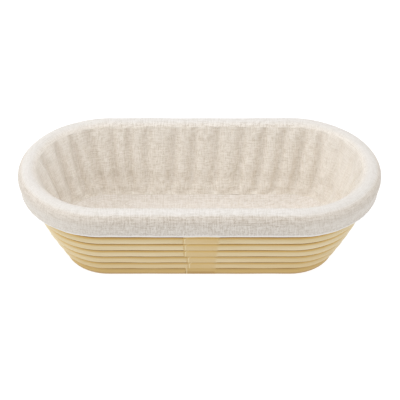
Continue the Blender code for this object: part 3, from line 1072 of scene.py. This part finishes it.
    def build(self) -> None:
        """Makes every cane and dresses the brads."""
        shape = self.shape
        finish = CaneFinish(shape.cane_r)
        finishes = [finish.material("peeled_cane"), finish.material("cane_cut_end", cut_end=True)]
        show(self.centre_cane("centre_cane").build(finishes), Body.BASKET, Slot.CANE, "base_centre_cane")
        for loop in range(1, shape.base_loops + 1):
            oval = Oval(shape.core(0), loop * shape.base_pitch)
            cane = self.bent_cane(f"base_cane_{loop}", oval, shape.foot_z, None)
            show(cane.build(finishes), Body.BASKET, Slot.CANE, f"base_loop_{loop}")
        for ring in range(shape.wall_rings):
            oval = Oval(shape.core(ring), shape.radius(ring))
            cane = self.bent_cane(f"wall_cane_{ring + 1}", oval, shape.height(ring), ring)
            show(cane.build(finishes), Body.BASKET, Slot.CANE, f"wall_ring_{ring + 1:02d}")
        steel = SteelFinish().material("brad_steel")
        for name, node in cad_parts.items():
            if "_pin_" in name:
                node.data.materials.clear()
                node.data.materials.append(steel)


# Liner


@dataclass
class Cuff:
    """Linen band over the rim, drawn in by an elastic in its hem."""

    shape: BasketShape
    hem_ring: int = 6
    hem_rise: float = 3.5 * MM
    hem_turn_up: float = 5.8 * MM
    seam_gap: float = 0.3 * MM
    elastic_width: float = 4.0 * MM
    elastic_thick: float = 0.8 * MM
    roll_foot: float = math.radians(-20.0)
    roll_seam: float = math.radians(143.0)
    columns: int = 420
    point_step: float = 0.55 * MM
    roll_points: int = 40
    rounding: int = 8
    edge_wave: float = 0.40 * MM
    pucker: float = 0.22 * MM
    pucker_count: int = 96
    sway: float = 0.30 * MM
    fullness: float = 1.4 * MM
    full_power: float = 1.5
    hem_fade: Edge = (3.0 * MM, 12.0 * MM)
    casing_rise: Edge = (0.0, 2.0 * MM)
    casing_fall: Edge = (5.0 * MM, 15.0 * MM)
    skirt_rise: Edge = (1.0 * MM, 8.0 * MM)
    skirt_fade: float = 9.0 * MM
    full_rise: Edge = (-0.5 * MM, 3.0 * MM)
    full_fall: Edge = (3.0 * MM, 9.0 * MM)
    stitch_pitch: float = 3.1 * MM
    stitch_thick: float = 0.42 * MM
    stitch_drop: float = 1.1 * MM
    stitch_sides: int = 6
    stitch_form: tuple[tuple[float, float, float], ...] = (
        (-0.36, -0.55, 0.55), (-0.34, -0.05, 0.9), (-0.2, 0.42, 1.0), (0.0, 0.55, 1.0),
        (0.2, 0.42, 1.0), (0.34, -0.05, 0.9), (0.36, -0.55, 0.55),
    )
    elastic_points: int = 21
    elastic_columns: int = 300
    elastic_ribs: int = 5
    elastic_rib: float = 0.18
    elastic_edge: float = 0.55
    seed: int = 12

    @property
    def oval(self) -> Oval:
        """Oval that the cuff goes round, at the roll's widest."""
        return Oval(self.shape.core_top, self.shape.roll_centre[0] + self.shape.roll_r)

    @property
    def layers(self) -> tuple[float, float, float]:
        """How far off the canes the turned-up flap, the elastic and the outer cloth lie."""
        cloth = self.shape.cloth
        flap = self.shape.lay_gap + cloth / 2.0
        elastic = flap + cloth / 2.0 + self.seam_gap + self.elastic_thick / 2.0
        return flap, elastic, elastic + self.elastic_thick / 2.0 + self.seam_gap + cloth / 2.0

    def hem_point(self, along: float, off: float) -> tuple[float, float]:
        """Radius and height beside the wall, along it from the hem's ring and off its outer face."""
        shape = self.shape
        lean = shape.lean(self.hem_ring)
        across = shape.cane_r + off
        radius = shape.radius(self.hem_ring) + along * math.sin(lean) + across * math.cos(lean)
        return radius, shape.height(self.hem_ring) + along * math.cos(lean) - across * math.sin(lean)

    def roll_point(self, angle: float, inside: float = 0.0) -> tuple[float, float]:
        """Radius and height on the roll, or inside it by some way."""
        radius, height = self.shape.roll_centre
        reach = self.shape.roll_r - inside
        return radius + reach * math.cos(angle), height + reach * math.sin(angle)

    def profile(self) -> np.ndarray:
        """Section of the cuff from the flap's edge round the hem and over the roll, evenly spaced."""
        flap, _, outer = self.layers
        top = self.hem_rise + self.hem_turn_up
        corners = [self.hem_point(top, flap), self.hem_point(self.hem_rise, flap)]
        corners += [self.hem_point(self.hem_rise, outer), self.hem_point(top, outer)]
        corners += [self.roll_point(a) for a in np.linspace(self.roll_foot, self.roll_seam, self.roll_points)]
        line = np.array(corners)
        way = run_lengths(line)
        count = int(way[-1] / self.point_step)
        line = points_at(np.linspace(0.0, way[-1], count), way, line)
        for _ in range(self.rounding):
            line[1:-1] = 0.5 * line[1:-1] + 0.25 * (line[:-2] + line[2:])
        return line

    def marks(self) -> tuple[float, float]:
        """Ways along the section to the fold of the hem and to the inner edge."""
        line = self.profile()
        down = run_lengths(line)
        return float(down[int(np.argmin(line[:, 1]))]), float(down[-1])

    def surface(self) -> tuple[np.ndarray, np.ndarray]:
        """Middle surface of the band, rows by columns by three, and the way along its section."""
        shape, oval = self.shape, self.oval
        dice = np.random.default_rng(self.seed)
        line = self.profile()
        down = run_lengths(line)
        fold, end = self.marks()
        above = down - fold
        tangent = unit(np.gradient(line, axis=0))
        outward = np.stack([tangent[:, 1], -tangent[:, 0]], axis=-1)
        way = np.arange(self.columns) * oval.length / self.columns
        share = way / oval.length
        hem = 1.0 - smooth(above, *self.hem_fade)
        casing = hump(above, self.casing_rise, self.casing_fall)
        skirt = smooth(above, *self.skirt_rise) * (1.0 - smooth(down, end - self.skirt_fade, end))
        low = hump(above, self.full_rise, self.full_fall)
        edge = drift(share, self.edge_wave, (7, 12, 19, 31), dice)
        beat = 1.0 + drift(share, 0.9, (5, 9), dice) / self.pucker_count
        slip = drift(share, 2.2, (9, 14, 23), dice)
        gather = 0.5 + 0.5 * np.sin(TURN * self.pucker_count * share + slip)
        gather *= self.pucker * (0.6 + drift(share, 0.4, (6, 13), dice)) * beat
        sway = self.sway * (0.5 + drift(share, 0.5, (6, 11, 17), dice))
        _, facing = oval.place(way)
        full = self.fullness * low[:, None] * np.abs(facing[None, :, 0]) ** self.full_power
        lean = shape.lean(self.hem_ring)
        lift = hem[:, None] * edge[None, :]
        push = casing[:, None] * gather[None, :] + skirt[:, None] * sway[None, :] + full
        radius = line[:, :1] + lift * math.sin(lean) + push * outward[:, :1]
        height = line[:, 1:] + lift * math.cos(lean) + push * outward[:, 1:]
        point, _ = oval.place(np.broadcast_to(way, radius.shape), shape.core_at(height), radius)
        point[..., 2] = height
        return point, down

    def band(self, name: str) -> tuple[Piece, tuple[float, float]]:
        """The cuff's cloth.

        Args:
            name: Name of the piece.

        Returns:
            The piece, and the width and length that it was cut to.
        """
        point, down = self.surface()
        way = np.arange(self.columns + 1) * self.oval.length / self.columns
        lay = np.stack(np.broadcast_arrays(way[None, :], down[:, None]), axis=-1)
        return cloth_piece(name, point, self.shape.cloth, lay), (float(down[-1]), self.oval.length)

    def stitches(self, name: str) -> Piece:
        """Row of stitches that closes the casing of the hem."""
        point, down = self.surface()
        fold, _ = self.marks()
        row = int(np.searchsorted(down, fold + self.hem_turn_up - self.stitch_drop))
        path, above = (np.concatenate([point[k], point[k, :1]]) for k in (row, row + 1))
        steps = run_lengths(path)
        count = int(steps[-1] / self.stitch_pitch)
        pitch = steps[-1] / count
        bow, sink, slim = np.array(self.stitch_form).T
        middle, sides = len(bow) // 2, self.stitch_sides
        turns = TURN * np.arange(sides) / sides
        verts, lays, faces = [], [], []
        for number in range(count):
            at = (number + 0.5 + bow) * pitch
            spot, higher = points_at(at, steps, path), points_at(at, steps, above)
            run = unit(spot[-1] - spot[0])
            out = unit(np.cross(run, higher[middle] - spot[middle]))
            side = np.cross(out, run)
            centre = spot + out * (self.shape.cloth / 2.0 + sink * self.stitch_thick)[:, None]
            ring = np.cos(turns)[:, None] * out + np.sin(turns)[:, None] * side
            body = centre[:, None, :] + ring[None] * (slim * self.stitch_thick / 2.0)[:, None, None]
            faces += tube(len(bow), sides, len(verts) * len(bow) * sides)
            verts.append(body.reshape(-1, 3))
            lay = np.stack(np.broadcast_arrays(at[:, None], turns[None] / TURN * 2.0, 0.0), axis=-1)
            lays.append(lay.reshape(-1, 3))
        return Piece(name, np.concatenate(verts), faces, np.concatenate(lays))

    def elastic(self, name: str) -> Piece:
        """Ribbed elastic in the casing."""
        shape, oval = self.shape, self.oval
        low = self.hem_rise + shape.cloth / 2.0 + 2.0 * self.seam_gap
        rise = np.linspace(0.0, self.elastic_width, self.elastic_points)
        wave = np.cos(TURN * self.elastic_ribs * rise / self.elastic_width)
        rib = self.elastic_thick / 2.0 * (1.0 - self.elastic_rib + self.elastic_rib * wave)
        rib[[0, -1]] *= self.elastic_edge
        along = np.concatenate([rise, rise[::-1]])
        off = np.concatenate([rib, -rib[::-1]]) + self.layers[1]
        line = np.array([self.hem_point(low + a, o) for a, o in zip(along, off)])
        cols, count = self.elastic_columns, len(line)
        way = np.arange(cols + 1) * oval.length / cols
        spread = np.repeat(way[:-1, None], count, axis=1)
        point, _ = oval.place(spread, shape.core_at(line[:, 1]), line[:, 0])
        point[..., 2] = line[:, 1]
        i, k = np.meshgrid(np.arange(cols), np.arange(count), indexing="ij")
        here, there, n = i * count, (i + 1) % cols * count, (k + 1) % count
        quads = np.stack([here + k, here + n, there + n, there + k], axis=-1)
        places = np.stack([way[i], way[i], way[i + 1], way[i + 1]], axis=-1)
        ups = np.stack([along[k], along[n], along[n], along[k]], axis=-1)
        lay = np.stack([places, ups, 0.0 * ups], axis=-1)
        faces = [tuple(face) for face in quads.reshape(-1, 4).tolist()]
        return Piece(name, point.reshape(-1, 3), faces, lay.reshape(-1, 3), lay_at_corners=True)


@dataclass
class GatheredWall:
    """Linen strip inside the basket, gathered under the cuff and into the floor."""

    shape: BasketShape
    cuff: Cuff
    floor_z: float = 28.2 * MM
    floor_clear: float = 3.6 * MM
    folds: int = 38
    columns: int = 800
    rows: int = 44
    seam_gap: float = 0.02 * MM
    valley: float = 4.2 * MM
    inset: float = 2.0 * MM
    sharpness: float = 1.8
    bulge: float = 1.3 * MM
    bulge_from: float = 0.6
    bulge_ease: float = 0.4
    bend: float = 0.10
    bend_points: int = 4
    fall_points: int = 60
    even_rows: float = 0.55
    free_top: float = 0.12
    sag: float = 0.5 * MM
    fold_curve: Curve = (
        (0.0, 0.0), (0.05, 0.30), (0.14, 0.75), (0.30, 0.95), (0.80, 1.0), (0.95, 0.55), (1.0, 0.0)
    )
    inset_curve: Curve = ((0.0, 0.0), (0.04, 0.25), (0.16, 1.0), (0.9, 1.0), (1.0, 0.0))
    ripple_curve: Curve = ((0.0, 0.0), (0.06, 0.26), (0.16, 0.14), (0.5, 0.06), (0.9, 0.18), (1.0, 0.0))
    unseen_pitch: float = 0.28
    unseen_size: Edge = (0.65, 1.1)
    unseen_skew: float = 3.0
    short_share: float = 0.18
    short_size: float = 0.4
    back_valleys: tuple[tuple[float, float, float], ...] = (
        (131.0, 5.0, 0.70), (114.0, 6.0, 0.75), (96.0, 3.0, 1.10), (80.0, -9.0, 1.10), (64.0, -9.0, 1.00),
        (49.0, -7.5, 1.05), (32.5, -6.0, 1.00), (12.0, -3.5, 0.95), (-6.0, -1.5, 0.90), (-21.0, -3.5, 1.05),
        (-43.0, 2.5, 0.80), (-56.0, 5.0, 0.95), (-69.0, 5.0, 1.05), (-84.0, 11.0, 0.95), (-99.0, 3.5, 1.30),
        (-113.5, -1.5, 1.60), (-131.0, -3.0, 1.60),
    )
    seam_allowance: float = 5.0 * MM
    seed: int = 5

    @property
    def floor_r(self) -> float:
        """End radius of the seam with the floor."""
        return float(self.shape.radius_at(self.floor_z)) - self.shape.cane_r - self.floor_clear

    def _profile(self) -> tuple[np.ndarray, np.ndarray]:
        """Section of the wall from the cuff's edge down to the floor.

        Returns:
            Radius and height of each row, and the row's share of the way down.
        """
        start = self.cuff.roll_seam + self.seam_gap / self.shape.roll_r
        bend = [self.cuff.roll_point(a) for a in np.linspace(start, start + self.bend, self.bend_points)]
        fall = np.linspace(bend[-1], (self.floor_r, self.floor_z), self.fall_points)[1:]
        line = np.concatenate([bend, fall])
        way = run_lengths(line)
        t = np.linspace(0.0, 1.0, self.rows)
        share = self.even_rows * t + (1.0 - self.even_rows) * smooth(t, 0.0, 1.0)
        spaced = points_at(way[-1] * share, way, line)
        low = np.clip((share - self.bulge_from) / (1.0 - self.bulge_from), 0.0, 1.0)
        spaced[:, 0] += self.bulge * 4.0 * low * (1.0 - low) * smooth(low, 0.0, self.bulge_ease)
        return spaced, share

    def _valleys(self, oval: Oval, dice: np.random.Generator) -> np.ndarray:
        """Ways of the valleys round the oval, as photographed at the back and uneven elsewhere."""
        turn = 2.0 * oval.core + math.pi * oval.radius
        back = turn - np.array([spot for spot, _, _ in self.back_valleys]) * MM
        rest = self.folds - len(back)
        steps = 1.0 + dice.uniform(-self.unseen_pitch, self.unseen_pitch, rest + 1)
        gap = oval.length - (back[-1] - back[0])
        return np.concatenate([back, back[-1] + np.cumsum(steps)[:-1] * gap / steps.sum()])

    def _folds(self, oval: Oval, way: np.ndarray, down: np.ndarray) -> tuple[np.ndarray, np.ndarray]:
        """Depth of the folds.

        Args:
            oval: Oval that the cloth goes round.
            way: Way round of each column.
            down: Share of the way down of each row.

        Returns:
            How far toward the canes the cloth goes and how large the fold is there, rows by columns.
        """
        dice = np.random.default_rng(self.seed)
        spots = self._valleys(oval, dice)
        count = len(spots)
        sizes, lines = [], []
        for number, spot in enumerate(spots):
            fades = dice.random()
            size = dice.uniform(*self.unseen_size) * np.ones_like(down)
            skew = dice.uniform(-self.unseen_skew, self.unseen_skew)
            if number < len(self.back_valleys):
                _, skew, deep = self.back_valleys[number]
                size = deep * np.ones_like(down)
            elif fades < self.short_share:
                begin = dice.uniform(0.1, 0.4)
                size *= self.short_size + (1.0 - self.short_size) * smooth(down, begin - 0.15, begin + 0.2)
            elif fades > 1.0 - self.short_share:
                stop = dice.uniform(0.65, 0.9)
                size *= 1.0 - (1.0 - self.short_size) * smooth(down, stop - 0.2, stop + 0.15)
            sway = np.sin(TURN * (down * dice.uniform(0.3, 0.8) + dice.random()))
            lines.append(spot + MM * (0.5 * sway - skew * (down - 0.5)))
            sizes.append(size)
        depth, large = np.zeros((2, len(down), len(way)))
        for row in range(len(down)):
            knots = np.array([line[row] for line in lines])
            turned = knots[0] + (way - knots[0]) % oval.length
            phase = np.interp(turned, np.append(knots, knots[0] + oval.length), np.arange(count + 1))
            size = np.array([size[row] for size in sizes])
            large[row] = np.interp(phase, np.arange(count + 1), np.append(size, size[0]))
            nearest = np.rint(phase).astype(int) % count
            depth[row] = size[nearest] * (0.5 + 0.5 * np.cos(TURN * phase)) ** self.sharpness
        return depth, large

    def surface(self) -> tuple[np.ndarray, np.ndarray]:
        """Middle surface of the strip, rows by columns by three, and how deep in a fold each point is."""
        shape = self.shape
        line, down = self._profile()
        oval = Oval(float(shape.core_at(self.floor_z)), float(line[:, 0].mean()))
        way = np.arange(self.columns) * oval.length / self.columns
        share = way / oval.length
        dice = np.random.default_rng(self.seed + 1)
        strength = along_curve(down, self.fold_curve)
        inset = self.inset * along_curve(down, self.inset_curve)
        fold, size = self._folds(oval, way, down)
        depth = self.valley * strength[:, None] * fold - inset[:, None] * size
        tight = along_curve(down, self.ripple_curve)
        ripple = drift(share, MM, (61, 83, 107), dice)[None, :] * tight[:, None]
        sag = drift(share, self.sag, (4, 9, 15), dice)[None, :] * np.sin(math.pi * down)[:, None]
        away = depth + ripple + sag
        slope = unit(np.gradient(line, axis=0))
        radius = line[:, :1] - away * slope[:, 1:]
        height = line[:, 1:] + away * slope[:, :1]
        canes = shape.radius_at(height) - shape.cane_r / math.cos(shape.lean(3))
        limit = canes - shape.cloth / 2.0 - shape.lay_gap
        free = np.where(down[:, None] < self.free_top, radius, np.minimum(radius, limit))
        point, _ = oval.place(np.broadcast_to(way, free.shape), shape.core_at(height), free)
        point[..., 2] = height
        return point, fold * strength[:, None]

    def strip(self, name: str) -> tuple[Piece, tuple[float, float]]:
        """The wall's cloth.

        Args:
            name: Name of the piece.

        Returns:
            The piece, and the width and length that it was cut to.
        """
        point, fold = self.surface()
        around = np.linalg.norm(np.diff(np.concatenate([point, point[:, :1]], axis=1), axis=1), axis=2)
        cut_length = float(around.sum(axis=1).max())
        columns = np.linspace(0.0, cut_length, self.columns + 1)
        line, _ = self._profile()
        down = run_lengths(line)
        lay = np.stack(np.broadcast_arrays(columns[None, :], down[:, None]), axis=-1)
        flat = (float(down[-1]) + self.seam_allowance, cut_length)
        piece = cloth_piece(name, point, self.shape.cloth, lay)
        piece.amounts[Mark.FOLD] = np.tile(fold.ravel(), 2)
        return piece, flat


@dataclass
class FloorPanel:
    """Oval of linen that hangs from the wall's lower edge."""

    shape: BasketShape
    wall: GatheredWall
    seam_gap: float = 0.02 * MM
    lap: float = -0.02 * MM
    sag: float = 8.0 * MM
    sag_power: float = 5.0
    columns: int = 420
    rows: int = 30
    pucker: float = 0.32 * MM
    pucker_rise: Edge = (0.70, 0.85)
    pucker_fall: Edge = (0.88, 0.97)
    even_rows: float = 0.55
    hub: float = 0.03
    crease: float = 0.35 * MM
    creases: int = 7
    crease_turn: float = 0.9
    crease_pace: Edge = (18.0, 45.0)
    crease_spread: tuple[float, float] = (0.08, 0.02)
    crease_size: tuple[float, float] = (0.05, 0.02)
    seam_allowance: float = 5.0 * MM
    seed: int = 23

    def panel(self, name: str) -> tuple[Piece, tuple[float, float], float]:
        """The floor's cloth.

        Args:
            name: Name of the piece.

        Returns:
            The piece, the width and length of the oval that was cut, and that oval's area.
        """
        shape = self.shape
        dice = np.random.default_rng(self.seed)
        core = float(shape.core_at(self.wall.floor_z))
        oval = Oval(core, self.wall.floor_r + self.lap)
        way = np.arange(self.columns) * oval.length / self.columns
        edge, _ = oval.place(way)
        t = np.linspace(0.0, 1.0, self.rows)
        shrink = 1.0 - (1.0 - self.hub) * (self.even_rows * t + (1.0 - self.even_rows) * t * t)
        point = edge[None] * shrink[:, None, None]
        x, y = point[..., 0], point[..., 1]
        off = np.hypot(np.maximum(np.abs(x) - core, 0.0), y) / oval.radius
        sag = self.sag * (1.0 - off**self.sag_power)
        beat = drift(way / oval.length, self.pucker, (63, 81, 97), dice)
        near = hump(off, self.pucker_rise, self.pucker_fall)
        lines = np.zeros_like(x)
        for _ in range(self.creases):
            turn = dice.uniform(-self.crease_turn, self.crease_turn)
            phase, pace = dice.random(), dice.uniform(*self.crease_pace)
            dx, dy = (axis - dice.uniform(-far, far) for axis, far in zip((x, y), self.crease_spread))
            across = dx * math.sin(turn) + dy * math.cos(turn)
            along = dx * math.cos(turn) - dy * math.sin(turn)
            length, breadth = self.crease_size
            fade = np.exp(-((along / length) ** 2) - (across / breadth) ** 2)
            lines += fade * np.sin(TURN * (across * pace + phase))
        flat = self.wall.floor_z - self.seam_gap - sag
        point[..., 2] = flat + near * (beat[None] - self.pucker) + self.crease * lines * (1.0 - near)
        lay = np.concatenate([point, point[:, :1]], axis=1)[..., :2]
        grown = oval.radius + self.seam_allowance
        area = 4.0 * core * grown + math.pi * grown**2
        piece = cloth_piece(name, point, shape.cloth, lay, closed_disc=True)
        return piece, (2.0 * grown, 2.0 * (core + grown)), area


@dataclass
class Liner:
    """The linen liner: cuff, elastic, gathered wall and floor."""

    shape: BasketShape
    # painted crest highlight of the cuff, as ways back from its inner edge
    crest: tuple[float, float, float, float] = (13.5 * MM, 9.5 * MM, 6.5 * MM, 0.0)
    # how far above the hem's fold the painted hem highlight runs
    hem_line: float = 1.8 * MM
    # painted light round the cuff's ends
    cuff_lit_ends: Edge = (-14.0 * MM, 34.0 * MM)
    # painted light and shade: the wall's and the floor's linen are the cuff's cloth with tones of their own,
    # tuned to how bright each reads inside the basket
    wall_cloth: LinenFinish = LinenFinish(
        light=(0.90, 0.85, 0.785, 1.0),
        dark=(0.64, 0.57, 0.475, 1.0),
        tucked=(4.8 * MM, 16.0 * MM),
        lit_ends=(80.0 * MM, 122.0 * MM),
        lit_ends_pale=0.08,
    )
    # painted light: the floor's linen tones, tuned apart from the cuff's
    floor_cloth: LinenFinish = LinenFinish(light=(0.865, 0.82, 0.775, 1.0), dark=(0.69, 0.625, 0.55, 1.0))

    def _cuff_cloth(self, cuff: Cuff) -> LinenFinish:
        """Finish of the cuff, with its crest, hem and ends where the cuff has them."""
        fold, end = cuff.marks()
        return LinenFinish(
            crest=tuple(end - way for way in self.crest),
            hem_fold=fold + self.hem_line,
            lit_ends=tuple(self.shape.core_top + way for way in self.cuff_lit_ends),
        )

    def build(self) -> None:
        """Makes the liner's pieces, and works out what each cloth was cut to."""
        cuff = Cuff(self.shape)
        wall = GatheredWall(self.shape, cuff)
        floor = FloorPanel(self.shape, wall)
        band, band_flat = cuff.band("linen_cuff")
        strip, strip_flat = wall.strip("linen_wall")
        panel, panel_flat, panel_area = floor.panel("linen_floor")
        cuff_piece = band.build([self._cuff_cloth(cuff).material("cuff_linen")])
        wall_piece = strip.build([self.wall_cloth.material("wall_linen")])
        floor_piece = panel.build([self.floor_cloth.material("floor_linen")])
        show(cuff_piece, Body.LINER, Slot.LINEN, "liner_cuff")
        show(wall_piece, Body.LINER, Slot.LINEN, "liner_wall_panel")
        show(floor_piece, Body.LINER, Slot.LINEN, "liner_floor_panel")
        elastic = cuff.elastic("ribbed_elastic").build([ElasticFinish().material("covered_elastic")])
        show(elastic, Body.LINER, Slot.ELASTIC, "hem_elastic")
        thread = cuff.stitches("hem_stitches").build([ThreadFinish().material("linen_thread")])
        show(thread, Body.LINER, Slot.LINEN)


# Studio


@dataclass(frozen=True)
class SoftBox:
    """A round soft light that points at the basket."""

    name: str
    at: tuple[float, float, float]
    power: float
    size: float = 0.9

    def build(self) -> None:
        """Makes the light."""
        lamp = bpy.data.lights.new(self.name, "AREA")
        lamp.shape = "DISK"
        lamp.size = self.size
        lamp.energy = self.power
        light = add(self.name, lamp)
        light.location = self.at
        light.rotation_euler = (-Vector(self.at)).to_track_quat("-Z", "Y").to_euler()


@dataclass
class Studio:
    """White table and wall, soft light and the camera."""

    table_size: float = 12.0
    table_glow: float = 0.90
    table_white: Colour = (0.25, 0.25, 0.25, 1.0)
    wall_height: float = 4.0
    wall_reach: float = 5.88
    wall_sides: int = 64
    sky: float = 0.795
    boxes: tuple[SoftBox, ...] = (
        SoftBox("left_soft_box", (-1.17, 0.0, 0.675), 3.2),
        SoftBox("top_soft_box", (-0.127, -0.35, 1.30), 4.4),
        SoftBox("back_soft_box", (0.95, 0.55, 0.95), 0.6),
    )
    camera_at: tuple[float, float, float] = (0.0, -0.8785, 0.7020)
    look_at: tuple[float, float, float] = (0.00038, 0.00342, 0.04479)
    lens: float = 125.55
    sensor: float = 36.0

    def build(self) -> None:
        """Makes the table, the wall, the lights and the camera."""
        self._table()
        self._backdrop()
        self._light()
        self._camera()

    def _table(self) -> None:
        """White table that glows a little, so that hardly a shadow falls on it."""
        half = self.table_size / 2.0
        mesh = bpy.data.meshes.new("table")
        corners = [(-half, -half, 0.0), (half, -half, 0.0), (half, half, 0.0), (-half, half, 0.0)]
        mesh.from_pydata(corners, [], [(0, 1, 2, 3)])
        table = add("table", mesh)
        g = Graph("white_table")
        mesh.materials.append(
            g.dress(
                Base_Color=self.table_white,
                Roughness=0.9,
                Specular_IOR_Level=0.0,
                Emission_Color=WHITE,
                Emission_Strength=self.table_glow,
            )
        )
        table.visible_diffuse = False

    def _backdrop(self) -> None:
        """White wall round the table, so that a low view is white behind the basket too."""
        count = self.wall_sides
        turns = TURN * np.arange(count) / count
        ring = [(self.wall_reach * math.cos(a), self.wall_reach * math.sin(a)) for a in turns]
        verts = [(x, y, z) for z in (0.0, self.wall_height) for x, y in ring]
        faces = [(k, (k + 1) % count, (k + 1) % count + count, k + count) for k in range(count)]
        mesh = bpy.data.meshes.new("backdrop")
        mesh.from_pydata(verts, [], faces)
        wall = add("backdrop", mesh)
        g = Graph("white_backdrop")
        glow = g.dress(Base_Color=WHITE, Roughness=0.9, Emission_Color=WHITE, Emission_Strength=1.0)
        mesh.materials.append(glow)
        wall.visible_diffuse = wall.visible_glossy = wall.visible_shadow = False

    def _light(self) -> None:
        """White surroundings, and large soft lights from the left and from above."""
        scene = bpy.context.scene
        scene.world = bpy.data.worlds.new("white_room")
        scene.world.use_nodes = True
        back = scene.world.node_tree.nodes["Background"]
        back.inputs["Color"].default_value = WHITE
        back.inputs["Strength"].default_value = self.sky
        for box in self.boxes:
            box.build()
        scene.view_settings.view_transform = "Standard"

    def _camera(self) -> None:
        """Camera at the photograph's angle."""
        data = bpy.data.cameras.new("camera")
        data.lens = self.lens
        data.sensor_width = self.sensor
        data.clip_start, data.clip_end = 0.01, 100.0
        camera = add("camera", data)
        place = Vector(self.camera_at)
        look = (Vector(self.look_at) - place).to_track_quat("-Z", "Y")
        camera.location = place
        camera.rotation_euler = look.to_euler()
        bpy.context.scene.camera = camera


def main() -> None:
    """Builds the studio, the basket and the liner."""
    logging.basicConfig(level=logging.INFO, format="%(name)s %(message)s")
    shape = BasketShape()
    Studio().build()
    CaneBasket(shape).build()
    Liner(shape).build()


if __name__ == "__main__":
    main()
